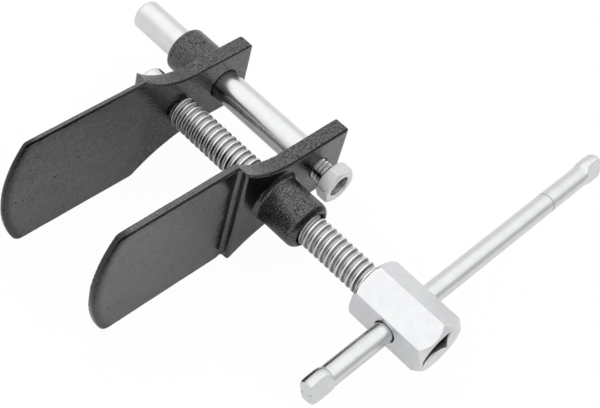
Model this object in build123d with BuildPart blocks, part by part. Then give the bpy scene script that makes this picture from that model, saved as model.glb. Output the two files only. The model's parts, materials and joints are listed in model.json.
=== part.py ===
from build123d import *
import os
from math import asin, cos, degrees, radians, sin, sqrt, tan

os.makedirs("parts", exist_ok=True)

# Brake caliper piston spreader: two cast jaws, opened by a screw and kept parallel by a guide rod.
# X runs from the blades' tips to the guide rod, Y from the drive head to the rod's free end, Z up.
# Lengths are millimetres and angles are degrees.

# Stored pose
jaw_gap = 34.7
head_angle = 3.2
bar_near_reach = 36.4
bar_roll = 21.0

# Jaw castings, seen along the screw, measured from the screw's axis
blade_reach = 60.8
tail_reach = 27.1
blade_rise = 18.7
blade_drop = 19.4
hub_rise = 10.75
hub_drop = 11.0
step_offset = 14.3
upper_saddle_radius = 27.5
lower_saddle_radius = 40.0
tip_radius = 34.0
tip_centre_drop = 1.5
tip_top_corner_radius = 1.5
tip_bottom_corner_radius = 4.0
toe_radius = 1.6
hub_toe_radius = 0.8
tail_corner_radius = 0.9

# Jaw castings, along the screw
front_blade_thickness = 2.2
rear_blade_thickness = 1.7
hub_thickness = 5.0
step_fillet = 1.0
step_fillet_foot = 2.2
rim_chamfer = 0.4
boss_diameter = 14.7
boss_length = 14.3
boss_rim_rounding = 2.2
boss_mouth_chamfer = 0.6
rod_collar_diameter = 14.3
rod_collar_length = 12.8
rod_collar_chamfer = 0.7
root_chamfer = 0.9

# Lead screw
screw_diameter = 9.5
thread_length = 76.9
thread_end_chamfer = 1.0
neck_diameter = 6.6
spigot_diameter = 8.0
spigot_length = 7.0
spigot_chamfer = 0.6

# End collar behind the rear jaw
end_collar_diameter = 9.5
end_collar_length = 8.8
end_collar_chamfer = 1.1
neck_end_recess = 0.4

# Drive head
head_across_flats = 16.0
head_length = 25.2
head_face_diameter = 15.2
head_front_chamfer = 40.0
head_rear_diameter = 16.6
head_rear_chamfer = 45.0
socket_width = 9.7
socket_depth = 8.6
socket_mouth_diameter = 14.4
socket_mouth_angle = 120.0
bar_hole_offset = 12.2
bar_hole_chamfer = 0.25

# Tommy bar
bar_diameter = 6.1
bar_length = 120.6
bar_end_diameter = 7.7
bar_end_length = 5.8
bar_end_thickness = 3.8
bar_ramp_length = 1.6
bar_tip_chamfer = 0.9
bar_groove_reach = 23.8
bar_groove_width = 0.5
bar_groove_depth = 0.15

# Guide rod and its nut
rod_offset = 17.6
rod_diameter = 9.5
rod_length = 70.3
rod_end_chamfer = 0.8
stud_diameter = 6.5
stud_end_chamfer = 0.6
nut_across_flats = 10.4
nut_thickness = 4.4
nut_standoff = 4.1
nut_face_diameter = 9.9
nut_chamfer = 60.0
nut_angle = 48.2
nut_mouth_diameter = 7.4
stud_recess = 1.4

# Fits
running_clearance = 0.05
bar_clearance = 0.25
stud_clearance = 0.05
end_play = 0.1
bore_floor = 0.3
corner_margin = 0.5

# Places along Y, from the front jaw's inner face
thread_end_y = jaw_gap - end_play
head_rear_y = jaw_gap - thread_length
head_face_y = head_rear_y - head_length
bar_y = head_rear_y - bar_hole_offset
boss_end_y = -hub_thickness - boss_length
rear_hub_y = jaw_gap + hub_thickness
end_collar_y = rear_hub_y + end_play
neck_end_y = end_collar_y + end_collar_length - neck_end_recess
nut_rear_y = -hub_thickness - nut_standoff
nut_face_y = nut_rear_y - nut_thickness
stud_end_y = nut_face_y + stud_recess

# Origin: on the floor, under the middle of the whole tool
bar_far_reach = bar_length - bar_near_reach
bar_tip_radius = bar_end_diameter / 2 - bar_tip_chamfer
bar_far_x = bar_far_reach * cos(radians(head_angle)) + bar_tip_radius * sin(radians(head_angle))
screw_x = (blade_reach - bar_far_x) / 2
front_face_y = -(rod_length + head_face_y) / 2
screw_z = blade_drop

step_x = screw_x - step_offset
step_foot_z = step_fillet_foot
step_height = blade_rise - rim_chamfer + screw_z - step_foot_z

screw_axis = Axis((screw_x, front_face_y, screw_z), (0, 1, 0))
rod_axis = Axis((screw_x + rod_offset, front_face_y, screw_z), (0, 1, 0))


def across(y, offset=0):
    """Plane square to the screw at y, facing the drive head: its x is +X and its y is +Z."""
    return Plane(origin=(screw_x + offset, front_face_y + y, screw_z), x_dir=(1, 0, 0), z_dir=(0, -1, 0))


def along(offset=0):
    """Plane that holds the Y axis of a turned piece: its x is +Y and its y is the radius."""
    return Plane(origin=(screw_x + offset, front_face_y, screw_z), x_dir=(0, 1, 0), z_dir=(1, 0, 0))


def turned_profile(points):
    """Half section of a turned piece, from (y, radius) points that start and end on the axis."""
    with BuildSketch() as section:
        with BuildLine():
            Polyline(*points, close=True)
        make_face()
    return section.sketch


def jaw_outline():
    """Outline of a jaw: blade with a curved tip, and a hub behind two concave saddles."""
    tip_x = -blade_reach + tip_radius
    tip_top_x = tip_x - sqrt(tip_radius**2 - (blade_rise + tip_centre_drop) ** 2)
    tip_bottom_x = tip_x - sqrt(tip_radius**2 - (blade_drop - tip_centre_drop) ** 2)
    upper_height = blade_rise - hub_rise
    lower_height = blade_drop - hub_drop
    upper_span = sqrt(2 * upper_saddle_radius * upper_height - upper_height**2)
    lower_span = sqrt(2 * lower_saddle_radius * lower_height - lower_height**2)
    upper_end_x = upper_span - step_offset
    toe_x = -step_offset - toe_radius / 2
    lower_end_x = lower_span + toe_x
    with BuildSketch() as outline:
        with BuildLine():
            Line((-step_offset, blade_rise), (tip_top_x, blade_rise))
            ThreePointArc(
                (tip_top_x, blade_rise), (-blade_reach, -tip_centre_drop), (tip_bottom_x, -blade_drop)
            )
            Line((tip_bottom_x, -blade_drop), (toe_x, -blade_drop))
            lower_angle = degrees(asin(lower_span / lower_saddle_radius))
            CenterArc(
                (lower_end_x, -hub_drop - lower_saddle_radius), lower_saddle_radius, 90 + lower_angle, -lower_angle
            )
            Polyline(
                (lower_end_x, -hub_drop), (tail_reach, -hub_drop), (tail_reach, hub_rise), (upper_end_x, hub_rise)
            )
            upper_angle = degrees(asin(upper_span / upper_saddle_radius))
            CenterArc(
                (upper_end_x, hub_rise + upper_saddle_radius), upper_saddle_radius, 270, -upper_angle
            )
        make_face()
        corners = {
            (tip_top_x, blade_rise): tip_top_corner_radius,
            (tip_bottom_x, -blade_drop): tip_bottom_corner_radius,
            (toe_x, -blade_drop): toe_radius,
            (tail_reach, hub_rise): tail_corner_radius,
            (tail_reach, -hub_drop): tail_corner_radius,
        }
        for (x, y), radius in corners.items():
            fillet(outline.vertices().sort_by_distance((x, y, 0))[0], radius)
    return outline.sketch


def hub_outline():
    """The thick part of a jaw's outline, from the step to the tail."""
    width = step_offset + tail_reach
    with BuildSketch() as hub:
        add(jaw_outline())
        with Locations((-step_offset, 0)):
            Rectangle(
                width, 2 * max(blade_rise, blade_drop), align=(Align.MIN, Align.CENTER), mode=Mode.INTERSECT
            )
        toe = hub.vertices().group_by(Axis.X)[0].sort_by(Axis.Y)[0]
        fillet(toe, hub_toe_radius)
    return hub.sketch


def step_cove(outward):
    """Concave corner between the blade's outer face and the step; outward is -1 or 1 along Y."""
    with BuildSketch() as cove:
        with BuildLine():
            Polyline((-step_fillet, 0), (0, 0), (0, outward * step_fillet))
            CenterArc((-step_fillet, outward * step_fillet), step_fillet, 0, -outward * 90)
        make_face()
    return cove.sketch


def corner_trim(across_flats, rear_y, rear_diameter, rear_angle, face_y, face_diameter, face_angle):
    """Half section that trims a hexagon's corners at both ends; the angles are from its axis."""
    radius = across_flats / 2 / cos(radians(30)) + corner_margin
    rear_radius = rear_diameter / 2
    face_radius = face_diameter / 2
    return turned_profile(
        [
            (rear_y, 0),
            (rear_y, rear_radius),
            (rear_y - (radius - rear_radius) / tan(radians(rear_angle)), radius),
            (face_y + (radius - face_radius) / tan(radians(face_angle)), radius),
            (face_y, face_radius),
            (face_y, 0),
        ]
    )


# Front jaw: the screw runs through its boss, and the guide rod is screwed into its tail
with BuildPart() as front_jaw:
    with BuildSketch(across(0)):
        add(jaw_outline())
    extrude(amount=front_blade_thickness)
    chamfer(front_jaw.faces().sort_by(Axis.Y)[0].edges(), rim_chamfer)
    with BuildSketch(across(0)):
        add(hub_outline())
    extrude(amount=hub_thickness)
    outer_y = front_face_y - hub_thickness
    chamfer(front_jaw.faces().sort_by(Axis.Y)[0].edges(), rim_chamfer)
    with BuildSketch(Plane(origin=(step_x, front_face_y - front_blade_thickness, step_foot_z))):
        add(step_cove(-1))
    extrude(amount=step_height)
    with BuildSketch(across(-hub_thickness)):
        Circle(boss_diameter / 2)
    extrude(amount=boss_length)
    root = front_jaw.edges().filter_by_position(Axis.Y, outer_y, outer_y).filter_by(GeomType.CIRCLE)
    chamfer(root.sort_by(Edge.length)[-1], root_chamfer)
    fillet(front_jaw.edges().group_by(Axis.Y)[0], boss_rim_rounding)
    with BuildSketch(across(0)):
        Circle(screw_diameter / 2 + running_clearance)
        with Locations((rod_offset, 0)):
            Circle(stud_diameter / 2 + stud_clearance)
    extrude(amount=-boss_end_y, mode=Mode.SUBTRACT)
    boss_mouth = front_jaw.edges().group_by(Axis.Y)[0].sort_by(Edge.length)[0]
    chamfer(boss_mouth, boss_mouth_chamfer)

front_jaw.part.label = "front_jaw"
export_step(front_jaw.part, "parts/front_jaw.step")

# Rear jaw: slides on the guide rod by its collar, and is pushed by the screw's shoulder
with BuildPart() as rear_jaw:
    with BuildSketch(across(jaw_gap)):
        add(jaw_outline())
    extrude(amount=-rear_blade_thickness)
    chamfer(rear_jaw.faces().sort_by(Axis.Y)[-1].edges(), rim_chamfer)
    with BuildSketch(across(jaw_gap)):
        add(hub_outline())
    extrude(amount=-hub_thickness)
    outer_y = front_face_y + rear_hub_y
    chamfer(rear_jaw.faces().sort_by(Axis.Y)[-1].edges(), rim_chamfer)
    with BuildSketch(Plane(origin=(step_x, front_face_y + jaw_gap + rear_blade_thickness, step_foot_z))):
        add(step_cove(1))
    extrude(amount=step_height)
    with BuildSketch(across(rear_hub_y)):
        with Locations((rod_offset, 0)):
            Circle(rod_collar_diameter / 2)
    extrude(amount=-rod_collar_length)
    root = rear_jaw.edges().filter_by_position(Axis.Y, outer_y, outer_y).filter_by(GeomType.CIRCLE)
    chamfer(root.sort_by(Edge.length)[-1], root_chamfer)
    chamfer(rear_jaw.edges().group_by(Axis.Y)[-1], rod_collar_chamfer)
    with BuildSketch(across(jaw_gap)):
        Circle(neck_diameter / 2 + running_clearance)
        with Locations((rod_offset, 0)):
            Circle(rod_diameter / 2 + running_clearance)
    extrude(amount=-(hub_thickness + rod_collar_length), mode=Mode.SUBTRACT)

rear_jaw.part.label = "rear_jaw"
export_step(rear_jaw.part, "parts/rear_jaw.step")

# Lead screw: a spigot in the head, the threaded length, and a turned neck through the rear jaw
spigot_end_y = head_rear_y - spigot_length
screw_points = [
    (spigot_end_y, 0),
    (spigot_end_y, spigot_diameter / 2 - spigot_chamfer),
    (spigot_end_y + spigot_chamfer, spigot_diameter / 2),
    (head_rear_y, spigot_diameter / 2),
    (head_rear_y, screw_diameter / 2),
    (thread_end_y - thread_end_chamfer, screw_diameter / 2),
    (thread_end_y, screw_diameter / 2 - thread_end_chamfer),
    (thread_end_y, neck_diameter / 2),
    (neck_end_y, neck_diameter / 2),
    (neck_end_y, 0),
]
with BuildPart() as lead_screw:
    with BuildSketch(along()):
        add(turned_profile(screw_points))
    revolve(axis=screw_axis)

lead_screw.part.label = "lead_screw"
export_step(lead_screw.part, "parts/lead_screw.step")

# End collar: pressed on the neck behind the rear jaw, so that the screw pulls the jaw back too
with BuildPart() as screw_end_collar:
    with BuildSketch(across(end_collar_y)):
        Circle(end_collar_diameter / 2)
        Circle(neck_diameter / 2, mode=Mode.SUBTRACT)
    extrude(amount=-end_collar_length)
    far_edges = screw_end_collar.edges().group_by(Axis.Y)[-1].sort_by(Edge.length)
    chamfer(far_edges[-1], end_collar_chamfer)

screw_end_collar.part.label = "screw_end_collar"
export_step(screw_end_collar.part, "parts/screw_end_collar.step")

# Drive head: hexagon with a square socket in its face and a hole across it for the bar
bar_centre = Vector(screw_x, front_face_y + bar_y, screw_z)
bar_direction = Vector(cos(radians(head_angle)), 0, sin(radians(head_angle)))
bar_upright = Vector(-sin(radians(head_angle)), 0, cos(radians(head_angle)))
bar_hole_radius = bar_diameter / 2 + bar_clearance
socket_mouth_radius = socket_mouth_diameter / 2
socket_cone_depth = socket_mouth_radius / tan(radians(socket_mouth_angle / 2))
with BuildPart() as drive_head:
    with BuildSketch(across(head_rear_y)):
        RegularPolygon(head_across_flats / 2, 6, major_radius=False, rotation=head_angle + 30)
    extrude(amount=head_length)
    with BuildSketch(along()):
        add(
            corner_trim(
                head_across_flats,
                head_rear_y,
                head_rear_diameter,
                head_rear_chamfer,
                head_face_y,
                head_face_diameter,
                head_front_chamfer,
            )
        )
    revolve(axis=screw_axis, mode=Mode.INTERSECT)
    with BuildSketch(across(head_face_y)):
        Rectangle(socket_width, socket_width, rotation=head_angle)
    extrude(amount=-socket_depth, mode=Mode.SUBTRACT)
    with BuildSketch(along()):
        add(
            turned_profile(
                [(head_face_y, 0), (head_face_y, socket_mouth_radius), (head_face_y + socket_cone_depth, 0)]
            )
        )
    revolve(axis=screw_axis, mode=Mode.SUBTRACT)
    with BuildSketch(across(head_rear_y)):
        Circle(spigot_diameter / 2)
    extrude(amount=spigot_length + bore_floor, mode=Mode.SUBTRACT)
    with BuildSketch(Plane(origin=bar_centre, x_dir=(0, 1, 0), z_dir=bar_direction)):
        Circle(bar_hole_radius)
    extrude(amount=head_across_flats, both=True, mode=Mode.SUBTRACT)
    hole_rims = drive_head.edges().filter_by(GeomType.CIRCLE).filter_by(
        lambda edge: abs(edge.radius - bar_hole_radius) < bar_hole_chamfer / 2
    )
    chamfer(hole_rims, bar_hole_chamfer)

drive_head.part.label = "drive_head"
export_step(drive_head.part, "parts/drive_head.step")

# Tommy bar: round bar whose ends are pressed flat, so that it cannot leave the head
bar_axis = Axis(bar_centre, bar_direction)
flat_normal_roll = radians(bar_roll)
flat_width_direction = bar_upright * cos(flat_normal_roll) + Vector(0, 1, 0) * sin(flat_normal_roll)
bar_radius = bar_diameter / 2
bar_end_radius = bar_end_diameter / 2
bar_groove_s = bar_far_reach - bar_groove_reach
bar_points = [
    (-bar_near_reach, 0),
    (-bar_near_reach, bar_end_radius),
    (-bar_near_reach + bar_end_length, bar_end_radius),
    (-bar_near_reach + bar_end_length + bar_ramp_length, bar_radius),
    (bar_groove_s - bar_groove_width / 2, bar_radius),
    (bar_groove_s, bar_radius - bar_groove_depth),
    (bar_groove_s + bar_groove_width / 2, bar_radius),
    (bar_far_reach - bar_end_length - bar_ramp_length, bar_radius),
    (bar_far_reach - bar_end_length, bar_end_radius),
    (bar_far_reach, bar_end_radius),
    (bar_far_reach, 0),
]
with BuildPart() as tommy_bar:
    with BuildSketch(Plane(origin=bar_centre, x_dir=bar_direction, z_dir=(0, -1, 0))):
        add(turned_profile(bar_points))
    revolve(axis=bar_axis)
    bar_edges = tommy_bar.edges().group_by(bar_axis)
    chamfer(bar_edges[0] + bar_edges[-1], bar_tip_chamfer)
    with BuildSketch(Plane(origin=bar_centre, x_dir=bar_direction, z_dir=flat_width_direction)):
        for tip, inward in ((-bar_near_reach, 1), (bar_far_reach, -1)):
            flat_start = tip + inward * bar_end_length
            ramp_start = flat_start + inward * bar_ramp_length
            outside = tip - inward * bar_diameter
            for side in (1, -1):
                with BuildLine():
                    Polyline(
                        (ramp_start, side * bar_radius),
                        (flat_start, side * bar_end_thickness / 2),
                        (outside, side * bar_end_thickness / 2),
                        (outside, side * bar_diameter),
                        (ramp_start, side * bar_diameter),
                        close=True,
                    )
                make_face()
    extrude(amount=bar_end_diameter, both=True, mode=Mode.SUBTRACT)

tommy_bar.part.label = "tommy_bar"
export_step(tommy_bar.part, "parts/tommy_bar.step")

# Guide rod: its shoulder seats on the front jaw, and its stud goes through the jaw into the nut
rod_points = [
    (stud_end_y, 0),
    (stud_end_y, stud_diameter / 2 - stud_end_chamfer),
    (stud_end_y + stud_end_chamfer, stud_diameter / 2),
    (0, stud_diameter / 2),
    (0, rod_diameter / 2),
    (rod_length - rod_end_chamfer, rod_diameter / 2),
    (rod_length, rod_diameter / 2 - rod_end_chamfer),
    (rod_length, 0),
]
with BuildPart() as guide_rod:
    with BuildSketch(along(rod_offset)):
        add(turned_profile(rod_points))
    revolve(axis=rod_axis)

guide_rod.part.label = "guide_rod"
export_step(guide_rod.part, "parts/guide_rod.step")

# Lock nut on the guide rod's stud
with BuildPart() as guide_rod_nut:
    with BuildSketch(across(nut_rear_y, rod_offset)):
        RegularPolygon(nut_across_flats / 2, 6, major_radius=False, rotation=nut_angle)
    extrude(amount=nut_thickness)
    with BuildSketch(along(rod_offset)):
        add(
            corner_trim(
                nut_across_flats,
                nut_rear_y,
                nut_face_diameter,
                nut_chamfer,
                nut_face_y,
                nut_face_diameter,
                nut_chamfer,
            )
        )
    revolve(axis=rod_axis, mode=Mode.INTERSECT)
    with BuildSketch(across(nut_rear_y, rod_offset)):
        Circle(stud_diameter / 2 + stud_clearance)
    extrude(amount=nut_thickness, mode=Mode.SUBTRACT)
    bore_rims = guide_rod_nut.edges().filter_by(GeomType.CIRCLE).sort_by(Edge.length)[:2]
    chamfer(bore_rims, (nut_mouth_diameter - stud_diameter) / 2 - stud_clearance)

guide_rod_nut.part.label = "guide_rod_nut"
export_step(guide_rod_nut.part, "parts/guide_rod_nut.step")
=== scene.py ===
import json
from math import atan2, cos, pi, radians, sin

import bmesh
import bpy
from mathutils import Matrix, Vector, noise


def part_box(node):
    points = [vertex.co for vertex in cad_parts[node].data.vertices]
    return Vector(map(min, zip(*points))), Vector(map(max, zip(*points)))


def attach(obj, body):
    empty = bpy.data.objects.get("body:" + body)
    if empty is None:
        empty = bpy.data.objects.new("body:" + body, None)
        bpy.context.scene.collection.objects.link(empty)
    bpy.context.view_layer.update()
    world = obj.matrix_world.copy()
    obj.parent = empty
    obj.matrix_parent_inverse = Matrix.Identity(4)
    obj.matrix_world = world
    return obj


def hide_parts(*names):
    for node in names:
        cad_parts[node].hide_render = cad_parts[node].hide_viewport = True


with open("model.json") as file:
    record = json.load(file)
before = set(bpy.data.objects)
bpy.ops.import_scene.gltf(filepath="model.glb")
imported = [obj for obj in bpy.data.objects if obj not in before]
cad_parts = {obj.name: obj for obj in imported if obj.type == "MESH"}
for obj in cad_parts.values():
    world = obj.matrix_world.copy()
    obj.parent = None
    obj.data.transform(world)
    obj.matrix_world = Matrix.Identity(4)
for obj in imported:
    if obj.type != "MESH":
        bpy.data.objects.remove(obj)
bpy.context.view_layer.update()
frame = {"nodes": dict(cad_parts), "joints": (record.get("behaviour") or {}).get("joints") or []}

# Lengths below are metres, written as millimetres times mm
mm = 0.001


# Places, from the frame

def middle(node):
    """Middle of a CAD node's box."""
    low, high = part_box(node)
    return (low + high) / 2


def reach(node):
    """Where a CAD node's box starts and ends along the screw."""
    low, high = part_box(node)
    return low.y, high.y


def joint(name):
    """A joint of the frame, by its name."""
    return next(j for j in frame["joints"] if j["name"] == name)


screw_start, screw_end = reach("lead_screw")
head_face, head_rear = reach("drive_head")
boss_mouth, front_inside = reach("front_jaw")
rear_inside, _ = reach("rear_jaw")
rod_start, rod_end = reach("guide_rod")
collar_start, collar_end = reach("screw_end_collar")

screw_centre = middle("lead_screw")
rod_centre = middle("guide_rod")
bar_centre = middle("tommy_bar")
along_screw = Vector((0, 1, 0))
along_bar = Vector(joint("bar_slide")["axis"])
head_tilt = atan2(along_bar.z, along_bar.x)

# Lead screw and its end collar
screw_radius = 4.75 * mm
screw_pitch = 2.0 * mm
screw_thread_depth = 0.5 * mm
screw_end_play = 0.1 * mm
screw_end_chamfer = 1.0 * mm
neck_radius = 3.3 * mm
spigot_radius = 4.0 * mm
collar_chamfer = 1.1 * mm
collar_rounding = 0.25 * mm

# Rolled threads: steps in a turn and points across it, and the crest's share of the pitch
thread_steps = 48
thread_points = 20
thread_crest_start = 0.5
thread_crest_end = 0.78

# Guide rod and its stud
rod_radius = 4.75 * mm
rod_end_chamfer = 0.8 * mm
rod_rounding = 0.3 * mm
stud_radius = 3.25 * mm
stud_pitch = 1.1 * mm
stud_thread_depth = 0.5 * mm
stud_thread_stop = 0.5 * mm
stud_shank = 2 * mm

# Tommy bar: its length, its two pressed ends, and the crease across it
bar_radius = 3.05 * mm
bar_length = 120.6 * mm
bar_roll = radians(21)
bar_steps = 128
bar_end_length = 5.8 * mm
bar_end_width = 7.7 * mm
bar_end_thickness = 3.8 * mm
bar_end_rounding = 0.9 * mm
bar_end_rings = 64
bar_ramp_length = 1.6 * mm
bar_press_softness = 0.12 * mm
bar_end_fullness = 0.75
bar_bulge_turn = 0.78 * pi
bar_bulge_rise = 0.6
bar_crease_place = bar_length / 2 - 23.8 * mm
bar_crease_half = 0.3 * mm
bar_crease_depth = 0.1 * mm

# Meshes: sizes of the skins, rings that hold long runs straight, and points that are joined
jaw_voxel = 0.38 * mm
head_voxel = 0.185 * mm
nut_voxel = 0.08 * mm
brace = 0.1 * mm
long_run = 1 * mm
weld = 0.002 * mm
skin_weld = 0.001 * mm

# Unevenness of the castings: size and height of each wave
casting_waves = ((7 * mm, 0.06 * mm), (2.2 * mm, 0.025 * mm))


# Shapes

def new_object(name, bm):
    """An object in the scene from a finished bmesh."""
    mesh = bpy.data.meshes.new(name)
    bm.to_mesh(mesh)
    bm.free()
    thing = bpy.data.objects.new(name, mesh)
    bpy.context.scene.collection.objects.link(thing)
    return thing


def new_piece(name, bm, body, material, node):
    """A smooth-shaded piece from a finished bmesh, that rides on its body and stands for its CAD node."""
    piece = new_object(name, bm)
    piece.data.materials.append(material)
    piece.data.polygons.foreach_set("use_smooth", [True] * len(piece.data.polygons))
    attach(piece, body)
    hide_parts(node)


def wire(bm, points):
    """An open chain of edges through points, ready to spin."""
    verts = [bm.verts.new(point) for point in points]
    edges = [bm.edges.new(pair) for pair in zip(verts, verts[1:])]
    return verts + edges


def braced(points):
    """A profile with a ring just inside both ends of each long run, so that the run shades as straight."""
    held = [points[0]]
    for start, end in zip(points, points[1:]):
        run = Vector(end) - Vector(start)
        if run.length > long_run:
            inward = run.normalized() * brace
            held += [tuple(Vector(start) + inward), tuple(Vector(end) - inward)]
        held.append(end)
    return held


def turned(bm, points, centre, axis=along_screw, steps=96):
    """Full turn of a profile of (place along the axis, radius) points about an axis through centre."""
    side = axis.orthogonal().normalized()
    origin = centre - axis * centre.dot(axis)
    profile = wire(bm, [origin + axis * place + side * radius for place, radius in braced(points)])
    bmesh.ops.spin(
        bm, geom=profile, cent=origin, axis=axis, angle=2 * pi, steps=steps, use_merge=True
    )
    bmesh.ops.remove_doubles(bm, verts=bm.verts, dist=weld)


def rounded(points, radius, segments=4, most=0.45):
    """A profile with each corner between its ends rounded, by at most this share of each side."""
    result = [points[0]]
    for before, corner, after in zip(points, points[1:], points[2:]):
        b, c, a = (Vector(p) for p in (before, corner, after))
        cut = min(radius, (b - c).length * most, (a - c).length * most)
        start = c + (b - c).normalized() * cut
        end = c + (a - c).normalized() * cut
        for k in range(segments + 1):
            t = k / segments
            result.append(tuple(start * (1 - t) ** 2 + c * 2 * t * (1 - t) + end * t**2))
    result.append(points[-1])
    return result


def thread_radius(turn, crest, depth):
    """Radius of a rolled thread at this share of its pitch, from root to root over a flat crest."""
    rise = min(1, turn / thread_crest_start, (1 - turn) / (1 - thread_crest_end))
    return crest - depth * (1 - rise**2)


def thread(bm, start, end, centre, crest, depth, pitch):
    """Right-hand thread about the Y axis through centre, cut square at both ends and closed."""
    origin = Vector((centre.x, 0, centre.z))
    side = Vector((1, 0, 0))
    first = start - pitch * (1 + (thread_crest_start + thread_crest_end) / 2)
    turns = int((end - start) / pitch) + 4
    points = [
        origin + along_screw * (first + pitch * k / thread_points)
        + side * thread_radius(k / thread_points, crest, depth)
        for k in range(thread_points + 1)
    ]
    bmesh.ops.spin(
        bm,
        geom=wire(bm, points),
        cent=origin,
        axis=along_screw,
        dvec=along_screw * pitch / thread_steps,
        angle=2 * pi,
        steps=thread_steps,
    )
    one_turn = bm.verts[:] + bm.edges[:] + bm.faces[:]
    for k in range(1, turns):
        copy = bmesh.ops.duplicate(bm, geom=one_turn)["geom"]
        moved = [v for v in copy if isinstance(v, bmesh.types.BMVert)]
        bmesh.ops.translate(bm, verts=moved, vec=along_screw * pitch * k)
    bmesh.ops.remove_doubles(bm, verts=bm.verts, dist=weld)
    for place, normal in ((start, -along_screw), (end, along_screw)):
        cut = bmesh.ops.bisect_plane(
            bm,
            geom=bm.verts[:] + bm.edges[:] + bm.faces[:],
            plane_co=along_screw * place,
            plane_no=normal,
            clear_outer=True,
        )
        rim = [e for e in cut["geom_cut"] if isinstance(e, bmesh.types.BMEdge)]
        bmesh.ops.holes_fill(bm, edges=rim, sides=0)


def skin(node, voxel, smoothing):
    """A copy of a CAD node's shape as one even skin, with its edges a little softened."""
    bm = bmesh.new()
    bm.from_mesh(frame["nodes"][node].data)
    bmesh.ops.remove_doubles(bm, verts=bm.verts, dist=skin_weld)
    shape = new_object(node + "_shape", bm)
    remesh = shape.modifiers.new("skin", "REMESH")
    remesh.mode = "VOXEL"
    remesh.voxel_size = voxel
    bpy.context.view_layer.update()
    skinned = bpy.data.meshes.new_from_object(
        shape.evaluated_get(bpy.context.evaluated_depsgraph_get())
    )
    bpy.data.objects.remove(shape)
    bm = bmesh.new()
    bm.from_mesh(skinned)
    bpy.data.meshes.remove(skinned)
    for _ in range(smoothing):
        bmesh.ops.smooth_vert(
            bm, verts=bm.verts, factor=0.5, use_axis_x=True, use_axis_y=True, use_axis_z=True
        )
    bm.normal_update()
    return bm


def cast_surface(bm, waves):
    """Moves a skin in and out by a few hundredths of a millimetre, as a sand casting's does."""
    moves = []
    for vert in bm.verts:
        rise = sum(height * noise.noise(vert.co / size) for size, height in waves)
        moves.append(vert.normal * rise)
    for vert, move in zip(bm.verts, moves):
        vert.co += move


# Patterns, made of nodes on a material's tree

def feed(tree, source, socket):
    """Gives a socket a pattern or a plain value."""
    if isinstance(source, bpy.types.NodeSocket):
        tree.links.new(source, socket)
    else:
        socket.default_value = source


def own_place(tree):
    """The place on the piece, in its own coordinates."""
    return tree.nodes.new("ShaderNodeTexCoord").outputs["Object"]


def split(tree, vector):
    """The X, Y and Z of a vector."""
    parts = tree.nodes.new("ShaderNodeSeparateXYZ")
    tree.links.new(vector, parts.inputs[0])
    return parts.outputs


def facing(tree):
    """The X, Y and Z of the surface's direction."""
    return split(tree, tree.nodes.new("ShaderNodeNewGeometry").outputs["Normal"])


def joined(tree, operation, first, second):
    """Two patterns put together, or a pattern and a number."""
    both = tree.nodes.new("ShaderNodeMath")
    both.operation = operation
    feed(tree, first, both.inputs[0])
    feed(tree, second, both.inputs[1])
    return both.outputs[0]


def times(tree, first, second):
    """Two patterns multiplied, or a pattern and a number."""
    return joined(tree, "MULTIPLY", first, second)


def mixed(tree, share, first, second, kind="FLOAT"):
    """From first to second by a pattern."""
    mix = tree.nodes.new("ShaderNodeMix")
    mix.data_type = kind
    feed(tree, share, mix.inputs["Factor"])
    feed(tree, first, mix.inputs["A"])
    feed(tree, second, mix.inputs["B"])
    return mix.outputs["Result"]


def tint(tree, value, dark, light):
    """A colour between dark and light, by a pattern."""
    return mixed(tree, value, (*dark, 1), (*light, 1), "RGBA")


def spread(tree, value, low, high, from_low=0.3, from_high=0.7, ends="LINEAR"):
    """Maps a pattern's middle range to low and high."""
    ramp = tree.nodes.new("ShaderNodeMapRange")
    ramp.interpolation_type = ends
    ramp.inputs["From Min"].default_value = from_low
    ramp.inputs["From Max"].default_value = from_high
    ramp.inputs["To Min"].default_value = low
    ramp.inputs["To Max"].default_value = high
    tree.links.new(value, ramp.inputs["Value"])
    return ramp.outputs["Result"]


def smooth(tree, value, low, high, from_low, from_high):
    """Maps a pattern to low and high with soft ends."""
    return spread(tree, value, low, high, from_low, from_high, "SMOOTHSTEP")


def raised(tree, height, distance, normal=None):
    """A bump from a height pattern, on top of another bump if one is given."""
    bump = tree.nodes.new("ShaderNodeBump")
    bump.inputs["Distance"].default_value = distance
    bump.inputs["Strength"].default_value = 1.0
    tree.links.new(height, bump.inputs["Height"])
    if normal is not None:
        tree.links.new(normal, bump.inputs["Normal"])
    return bump.outputs["Normal"]


def grain(tree, size, detail=2.0, stretch=(1, 1, 1), slant=(0, 0, 0)):
    """Noise on the piece's own coordinates; size is its grain in metres, drawn out by stretch."""
    mapping = tree.nodes.new("ShaderNodeMapping")
    mapping.vector_type = "TEXTURE"
    mapping.inputs["Rotation"].default_value = slant
    mapping.inputs["Scale"].default_value = stretch
    tree.links.new(own_place(tree), mapping.inputs["Vector"])
    pattern = tree.nodes.new("ShaderNodeTexNoise")
    pattern.inputs["Scale"].default_value = 1 / size
    pattern.inputs["Detail"].default_value = detail
    tree.links.new(mapping.outputs["Vector"], pattern.inputs["Vector"])
    return pattern.outputs["Fac"]


def pitted(tree, cell, radius, patch, cover):
    """1 with a pit of 0 in each cell, where a patchy noise is below cover."""
    mapping = tree.nodes.new("ShaderNodeMapping")
    mapping.inputs["Rotation"].default_value = (0, streak_slant, 0)
    mapping.inputs["Scale"].default_value = pit_stretch
    tree.links.new(own_place(tree), mapping.inputs["Vector"])
    cells = tree.nodes.new("ShaderNodeTexVoronoi")
    cells.inputs["Scale"].default_value = 1 / cell
    tree.links.new(mapping.outputs["Vector"], cells.inputs["Vector"])
    holes = spread(tree, cells.outputs["Distance"], 0, 1, radius / cell * 0.5, radius / cell)
    bare = spread(tree, grain(tree, patch), 0, 1, cover, cover + 0.05)
    return joined(tree, "MAXIMUM", holes, bare)


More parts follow.
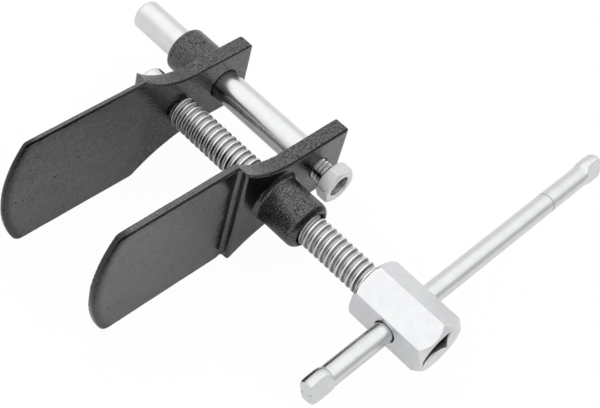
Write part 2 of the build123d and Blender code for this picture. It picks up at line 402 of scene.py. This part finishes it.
def along_x(tree, start, end):
    """0 before start and 1 after end, along the piece's own X, in metres."""
    return spread(tree, split(tree, own_place(tree))["X"], 0, 1, start, end)


def off_axis(tree, centre):
    """Distance from the line along Y through centre, and the place along Y, in metres."""
    moved = tree.nodes.new("ShaderNodeVectorMath")
    moved.operation = "SUBTRACT"
    moved.inputs[1].default_value = (centre.x, 0, centre.z)
    tree.links.new(own_place(tree), moved.inputs[0])
    parts = split(tree, moved.outputs[0])
    flat = tree.nodes.new("ShaderNodeCombineXYZ")
    tree.links.new(parts["X"], flat.inputs["X"])
    tree.links.new(parts["Z"], flat.inputs["Z"])
    radius = tree.nodes.new("ShaderNodeVectorMath")
    radius.operation = "LENGTH"
    tree.links.new(flat.outputs[0], radius.inputs[0])
    return radius.outputs["Value"], parts["Y"]


def finish(name):
    """A new material with its tree and shader."""
    material = bpy.data.materials.new(name)
    material.use_nodes = True
    return material, material.node_tree, material.node_tree.nodes["Principled BSDF"]


# Enamel: its colour, its roughness, and the change from the smooth blades to the coarse hubs
enamel_darks = ((0.0008, 0.001, 0.001), (0.002, 0.0023, 0.0022))
enamel_roughness = (0.1, 0.18)
dark_grain = 9 * mm
roughness_grain = 2.5 * mm
step_x = screw_centre.x - 14.3 * mm
coarse_change = (step_x - 1 * mm, step_x + 3 * mm)

# Shine between the pores, in them on the blades and on the hubs, and over fine specks
full_shine = 1.05
pore_shine = (0.6, 0.1)
pore_grain = 0.28 * mm
pore_rim = (0.38, 0.6)
speck_shine = (0.7, 1.25)
speck_grain = 0.55 * mm

# Shine left in other pieces' mirrors, and shine left under painted shade at the boss's mouth, along top
# edges, at the tips and in small pits
mirrored_shine = 0.2
mouth_shaded_shine = 0.05
edge_shaded_shine = 0.2
tip_shaded_shine = 0.35
pit_shaded_shine = 0.25

# Where those places end: from the screw, from the front jaw, by direction, and from the tip's centre
mouth_edge = (5.5 * mm, 6.0 * mm)
mouth_depth = (front_inside - 17 * mm, front_inside - 16 * mm)
edge_upward = (0.2, 0.5)
edge_forward = (-0.5, -0.2)
tip_centre = screw_centre - Vector((26.8, 0, 1.5)) * mm
tip_reach = (30.5 * mm, 33 * mm)

# Marks of the casting: cell, radius, patch and cover of the pits, and depths of bumps
small_pit_sizes = (1.1 * mm, 0.2 * mm, 5 * mm, 0.5)
large_pit_sizes = (4 * mm, 0.45 * mm, 14 * mm, 0.42)
small_pit_depth = 0.06 * mm
large_pit_depth = 0.15 * mm
pit_stretch = (0.6, 1, 1)
lump_depth = 0.12 * mm
lump_grain = 0.5 * mm
lump_share = (0.3, 1.0)
streak_depth = 0.05 * mm
streak_grain = 0.4 * mm
streak_stretch = (5, 1, 1)
streak_slant = radians(-20)


def boss_mouth_place(tree):
    """1 on the boss's mouth, round the screw, where shade is painted."""
    from_screw, depth = off_axis(tree, screw_centre)
    round_screw = spread(tree, from_screw, 1, 0, *mouth_edge)
    return times(tree, round_screw, spread(tree, depth, 1, 0, *mouth_depth))


def top_edge_place(tree):
    """1 on the soft edges that face up and towards the head, where shade is painted by their direction."""
    parts = facing(tree)
    upward = smooth(tree, parts["Z"], 0, 1, *edge_upward)
    return times(tree, upward, smooth(tree, parts["Y"], 1, 0, *edge_forward))


def tip_place(tree, coarse):
    """1 in a band along the blades' curved tips, where shade is painted."""
    from_tip, _ = off_axis(tree, tip_centre)
    return times(tree, smooth(tree, from_tip, 0, 1, *tip_reach), spread(tree, coarse, 1, 0, 0, 1))


def black_enamel():
    """Glossy black enamel on a sand casting: streaks and pits on the blades, coarse grain on the hubs."""
    material, tree, shader = finish("black_enamel")
    shader.inputs["IOR"].default_value = 1.7
    patches = spread(tree, grain(tree, dark_grain), 0, 1)
    tree.links.new(tint(tree, patches, *enamel_darks), shader.inputs["Base Color"])
    roughness = spread(tree, grain(tree, roughness_grain), *enamel_roughness)
    tree.links.new(roughness, shader.inputs["Roughness"])
    coarse = along_x(tree, *coarse_change)
    between_pores = spread(tree, grain(tree, pore_grain), 0, 1, *pore_rim)
    shine = mixed(tree, between_pores, spread(tree, coarse, *pore_shine, 0, 1), full_shine)
    small_pits = pitted(tree, *small_pit_sizes)
    large_pits = pitted(tree, *large_pit_sizes)
    # Painted shade: the shine is cut at the boss's mouth, along top edges, in a band at the tips and in
    # the small pits
    duller = (
        (tree.nodes.new("ShaderNodeLightPath").outputs["Is Glossy Ray"], 1, mirrored_shine),
        (boss_mouth_place(tree), 1, mouth_shaded_shine),
        (top_edge_place(tree), 1, edge_shaded_shine),
        (tip_place(tree, coarse), 1, tip_shaded_shine),
        (small_pits, pit_shaded_shine, 1),
    )
    for place, outside, inside in duller:
        shine = times(tree, shine, spread(tree, place, outside, inside, 0, 1))
    shine = times(tree, shine, spread(tree, grain(tree, speck_grain, 3), *speck_shine))
    tree.links.new(shine, shader.inputs["Specular IOR Level"])
    lumps = times(tree, grain(tree, lump_grain, 3), spread(tree, coarse, *lump_share, 0, 1))
    streaks = grain(tree, streak_grain, 2, streak_stretch, (0, streak_slant, 0))
    normal = raised(tree, lumps, lump_depth)
    normal = raised(tree, streaks, streak_depth, normal)
    normal = raised(tree, small_pits, small_pit_depth, normal)
    normal = raised(tree, large_pits, large_pit_depth, normal)
    tree.links.new(normal, shader.inputs["Normal"])
    return material


# Plated steel: its darker clouds and its painted shade as shares of its colour, and its swells by the
# lines' depth
cloud_share = 0.94
cloud_grain = 3 * mm
painted_shade_share = 0.16
line_grain = 0.35 * mm
swell_share = 5
swell_grain = 1.6 * mm

# Painted shade: its most on the thread's flanks, and where it ends
flank_shade = 0.9
flank_turn = (-0.5, 0.3)
screw_crest = (screw_radius - 0.1 * mm, screw_radius - 0.02 * mm)
stud_crest = (stud_radius - 0.12 * mm, stud_radius - 0.02 * mm)
socket_wall = (6.9 * mm, 7.0 * mm)
socket_depth = (head_face + 0.9 * mm, head_face + 2.6 * mm)
crease_shade = 0.5
crease_line = (0.35 * mm, 0.1 * mm)


def plated_steel(name, colour, roughness, stretch, scratch_depth, painted_shade=None):
    """Bright plated steel with clouds and with fine lines along stretch; painted shade darkens parts of
    it.
    """
    material, tree, shader = finish(name)
    shader.inputs["Metallic"].default_value = 1.0
    clouds = spread(tree, grain(tree, cloud_grain), 0, 1)
    plate = tint(tree, clouds, [c * cloud_share for c in colour], colour)
    if painted_shade is not None:
        plate = mixed(tree, painted_shade(tree), plate, (*(c * painted_shade_share for c in colour), 1), "RGBA")
    tree.links.new(plate, shader.inputs["Base Color"])
    lines = grain(tree, line_grain, 2, stretch)
    tree.links.new(spread(tree, lines, *roughness), shader.inputs["Roughness"])
    swells = grain(tree, swell_grain, 1, stretch)
    normal = raised(tree, swells, scratch_depth * swell_share, raised(tree, lines, scratch_depth))
    tree.links.new(normal, shader.inputs["Normal"])
    return material


def socket_painted_shade(tree):
    """Painted shade: 1 inside the head's square socket and its cross hole, and 0 on the outside and the
    cone.
    """
    radius, depth = off_axis(tree, screw_centre)
    within = spread(tree, radius, 1, 0, *socket_wall)
    return times(tree, within, spread(tree, depth, 0, 1, *socket_depth))


def thread_painted_shade(tree):
    """Painted shade: up to 1 in the thread's roots and on its flanks that face the head, and 0 elsewhere.
    """
    facing_head = smooth(tree, facing(tree)["Y"], flank_shade, 0, *flank_turn)
    radius, _ = off_axis(tree, screw_centre)
    return times(tree, facing_head, spread(tree, radius, 1, 0, *screw_crest))


def stud_painted_shade(tree):
    """Painted shade: 1 in the stud's thread, outside the jaw, and 0 on its crests and on the rod."""
    radius, depth = off_axis(tree, rod_centre)
    outside = spread(tree, depth, 1, 0, boss_mouth, front_inside)
    return times(tree, spread(tree, radius, 1, 0, *stud_crest), outside)


def crease_painted_shade(tree):
    """Painted shade, half dark, in the crease that a die left across the bar's far half."""
    place = bar_centre.x + bar_crease_place * cos(head_tilt)
    before = along_x(tree, *(place - width for width in crease_line))
    after = along_x(tree, *(place + width for width in crease_line))
    return times(tree, before, spread(tree, after, 0, crease_shade, 0, 1))


enamel = black_enamel()
screw_plate = plated_steel(
    "zinc_screw", (0.69, 0.692, 0.69), (0.2, 0.3), (4, 1, 4), 0.003 * mm, thread_painted_shade
)
head_plate = plated_steel(
    "satin_head", (0.69, 0.698, 0.71), (0.32, 0.38), (1, 12, 1), 0.002 * mm, socket_painted_shade
)
bar_plate = plated_steel(
    "bright_bar", (0.63, 0.64, 0.645), (0.18, 0.28), (14, 1, 1), 0.004 * mm, crease_painted_shade
)
rod_plate = plated_steel(
    "bright_rod", (0.66, 0.665, 0.67), (0.18, 0.26), (1, 14, 1), 0.002 * mm, stud_painted_shade
)
nut_plate = plated_steel("zinc_nut", (0.65, 0.655, 0.66), (0.24, 0.34), (1, 1, 1), 0.004 * mm)


# Jaws: castings with an uneven skin

def jaw(node, body):
    """A jaw's casting, enamelled."""
    bm = skin(node, jaw_voxel, 2)
    cast_surface(bm, casting_waves)
    new_piece(node + "_casting", bm, body, enamel, node)


jaw("front_jaw", "fixed_jaw")
jaw("rear_jaw", "sliding_jaw")


# Lead screw: rolled thread, with a neck through the rear jaw and a spigot in the head

def lead_screw():
    """The screw as one piece."""
    bm = bmesh.new()
    thread_end = rear_inside - screw_end_play
    thread(bm, head_rear, thread_end, screw_centre, screw_radius, screw_thread_depth, screw_pitch)
    for vert in bm.verts:
        out = Vector((vert.co.x - screw_centre.x, 0, vert.co.z - screw_centre.z))
        limit = screw_radius - max(0, vert.co.y - thread_end + screw_end_chamfer)
        if out.length > limit:
            vert.co -= out * (1 - limit / out.length)
    spigot_end = head_rear + screw_pitch
    neck = [
        (screw_start, 0), (screw_start, spigot_radius), (spigot_end, spigot_radius),
        (spigot_end + screw_pitch, neck_radius), (screw_end, neck_radius), (screw_end, 0),
    ]
    turned(bm, neck, screw_centre)
    bmesh.ops.recalc_face_normals(bm, faces=bm.faces)
    new_piece("rolled_screw", bm, "screw", screw_plate, "lead_screw")


lead_screw()


def end_collar():
    """The collar on the screw's neck, with a turned chamfer."""
    bm = bmesh.new()
    low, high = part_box("screw_end_collar")
    outside = (high.x - low.x) / 2
    profile = [
        (collar_start, neck_radius), (collar_start, outside), (collar_end - collar_chamfer, outside),
        (collar_end, outside - collar_chamfer), (collar_end, neck_radius), (collar_start, neck_radius),
    ]
    turned(bm, rounded(profile, collar_rounding), middle("screw_end_collar"))
    bmesh.ops.recalc_face_normals(bm, faces=bm.faces)
    new_piece("end_collar", bm, "screw", screw_plate, "screw_end_collar")


end_collar()


# Drive head and nut: machined from hexagon bar, with their sharp edges just broken

new_piece(
    "hexagon_head", skin("drive_head", head_voxel, 1), "screw", head_plate, "drive_head"
)
new_piece(
    "lock_nut", skin("guide_rod_nut", nut_voxel, 1), "fixed_jaw", nut_plate, "guide_rod_nut"
)


# Guide rod with its threaded stud

def guide_rod():
    """The rod and its stud as one piece."""
    bm = bmesh.new()
    stud_end = front_inside - stud_thread_stop
    thread(bm, rod_start, stud_end, rod_centre, stud_radius, stud_thread_depth, stud_pitch)
    profile = [
        (front_inside - stud_shank, 0), (front_inside - stud_shank, stud_radius),
        (front_inside, stud_radius), (front_inside, rod_radius),
        (rod_end - rod_end_chamfer, rod_radius), (rod_end, rod_radius - rod_end_chamfer), (rod_end, 0),
    ]
    turned(bm, rounded(profile, rod_rounding), rod_centre)
    bmesh.ops.recalc_face_normals(bm, faces=bm.faces)
    new_piece("slide_rod", bm, "fixed_jaw", rod_plate, "guide_rod")


guide_rod()


# Tommy bar: its ends are pressed flat and spread a little

def pressed(value, half, softness):
    """A distance from the bar's middle plane once it is pressed to half, with a softly rounded corner."""
    size = abs(value)
    over = size - half
    if over > softness:
        size = half
    elif over > -softness:
        size -= (over + softness) ** 2 / (4 * softness)
    return size if value > 0 else -size


def press(bm, tip, inward):
    """Presses the last part of the bar between two flat dies, which spreads it sideways."""
    length = bar_end_length + bar_ramp_length
    for vert in bm.verts:
        depth = length - (vert.co.x - tip) * inward
        if depth <= 0:
            continue
        closed = min(1.0, depth / bar_ramp_length)
        half = bar_radius + (bar_end_thickness / 2 - bar_radius) * closed
        bulge = sin(bar_bulge_turn * min(1.0, depth / length) ** bar_bulge_rise)
        width = bar_radius + (bar_end_width / 2 - bar_radius) * bulge
        share = min(1.0, abs(vert.co.z) / bar_radius) ** (1 + (bar_end_fullness - 1) * closed)
        vert.co.y = pressed(vert.co.y, half, bar_press_softness)
        vert.co.z = width * share if vert.co.z > 0 else -width * share


def tommy_bar():
    """The bar, made along X about the origin and then placed."""
    bm = bmesh.new()
    half = bar_length / 2
    tip = bar_end_rounding
    end_step = (bar_end_length + 2 * bar_ramp_length - tip) / bar_end_rings
    end_places = [-half + tip + end_step * k for k in range(bar_end_rings + 1)]
    nose = [(half - tip * 0.3, bar_radius - tip * 0.25), (half, bar_radius - tip * 0.8), (half, 0)]
    profile = [(-place, radius) for place, radius in reversed(nose)]
    profile += [(place, bar_radius) for place in end_places]
    groove = ((-brace, bar_radius), (0, bar_radius - bar_crease_depth), (brace, bar_radius))
    for middle_place in (bar_crease_place - bar_crease_half, bar_crease_place + bar_crease_half):
        profile += [(middle_place + beside, radius) for beside, radius in groove]
    profile += [(-place, bar_radius) for place in reversed(end_places)] + nose
    turned(bm, profile, Vector((0, 0, 0)), Vector((1, 0, 0)), bar_steps)
    press(bm, -half, 1)
    press(bm, half, -1)
    roll = Matrix.Rotation(-bar_roll, 4, "X")
    tilt = Matrix.Rotation(-head_tilt, 4, "Y")
    bmesh.ops.transform(bm, matrix=Matrix.Translation(bar_centre) @ tilt @ roll, verts=bm.verts)
    bmesh.ops.recalc_face_normals(bm, faces=bm.faces)
    new_piece("cross_bar", bm, "bar", bar_plate, "tommy_bar")


tommy_bar()


# Floor: its size, and how white it is to the camera and in reflections
floor_size = 4
floor_whiteness = (0.96, 0.05)

# Tent: brightness of its roof as reflected and as light, its dimmer front, and where they begin
roof_brightness = 1.43
roof_rise = (0.35, 0.88)
roof_light = 1.55
light_rise = (0.2, 0.8)
front_dimness = 0.7
front_top = (0.48, 0.7)
front_side = (-0.75, -0.4)


def shown_share(tree, seen, reflected):
    """A share for rays from the camera, another for rays off or through the object, 0 for the rest."""
    rays = tree.nodes.new("ShaderNodeLightPath").outputs
    total = times(tree, rays["Is Camera Ray"], seen)
    for name in ("Is Glossy Ray", "Is Transmission Ray"):
        total = joined(tree, "MAXIMUM", total, times(tree, rays[name], reflected))
    return total


def floor():
    """A pale floor, near white to the camera, that keeps a light shadow."""
    bm = bmesh.new()
    bmesh.ops.create_grid(bm, x_segments=1, y_segments=1, size=floor_size)
    material, tree, shader = finish("pale_floor")
    shader.inputs["Base Color"].default_value = (0.9, 0.9, 0.9, 1)
    shader.inputs["Roughness"].default_value = 0.9
    shader.inputs["Specular IOR Level"].default_value = 0.0
    white = tree.nodes.new("ShaderNodeEmission")
    blend = tree.nodes.new("ShaderNodeMixShader")
    tree.links.new(shown_share(tree, *floor_whiteness), blend.inputs["Fac"])
    tree.links.new(shader.outputs[0], blend.inputs[1])
    tree.links.new(white.outputs[0], blend.inputs[2])
    tree.links.new(blend.outputs[0], tree.nodes["Material Output"].inputs["Surface"])
    ground = new_object("floor", bm)
    ground.data.materials.append(material)


floor()


def tent(tree):
    """Brightness of the tent as it is reflected, and as it lights."""
    parts = split(tree, tree.nodes.new("ShaderNodeTexCoord").outputs["Generated"])
    height = parts["Z"]
    below_roof = smooth(tree, height, 1, 0, *front_top)
    in_front = smooth(tree, parts["Y"], 1, 0, *front_side)
    front = spread(tree, times(tree, below_roof, in_front), 1, front_dimness, 0, 1)
    roof = smooth(tree, height, 1, roof_brightness, *roof_rise)
    return times(tree, roof, front), smooth(tree, height, 0, roof_light, *light_rise)


def studio():
    """A soft white tent as it is seen and reflected; as light it falls mostly from its roof."""
    world = bpy.data.worlds.new("studio")
    world.use_nodes = True
    tree = world.node_tree
    reflected, light = tent(tree)
    off_object = mixed(tree, shown_share(tree, 0.0, 1.0), light, reflected)
    background = tree.nodes["Background"]
    strength = mixed(tree, shown_share(tree, 1.0, 0.0), off_object, 1.0)
    tree.links.new(strength, background.inputs["Strength"])
    background.inputs["Color"].default_value = (1, 1, 1, 1)
    bpy.context.scene.world = world


studio()


def camera():
    """The photograph's camera: where it stands, how it is turned, and its lens."""
    azimuth, elevation, roll = radians(-57.956), radians(48.663), radians(17.241)
    from_screw = Vector((-196.94, -138.34, 269.39)) * mm
    data = bpy.data.cameras.new("camera")
    data.sensor_fit = "HORIZONTAL"
    data.sensor_width = 36
    data.lens = 78.62
    view = bpy.data.objects.new("camera", data)
    place = Matrix.Translation(Vector((screw_centre.x, 0, screw_centre.z)) + from_screw)
    aim = Matrix.Rotation(azimuth, 4, "Z") @ Matrix.Rotation(pi / 2 - elevation, 4, "X")
    view.matrix_world = place @ aim @ Matrix.Rotation(roll, 4, "Z")
    bpy.context.scene.collection.objects.link(view)
    bpy.context.scene.camera = view


camera()
bpy.context.scene.view_settings.view_transform = "Standard"
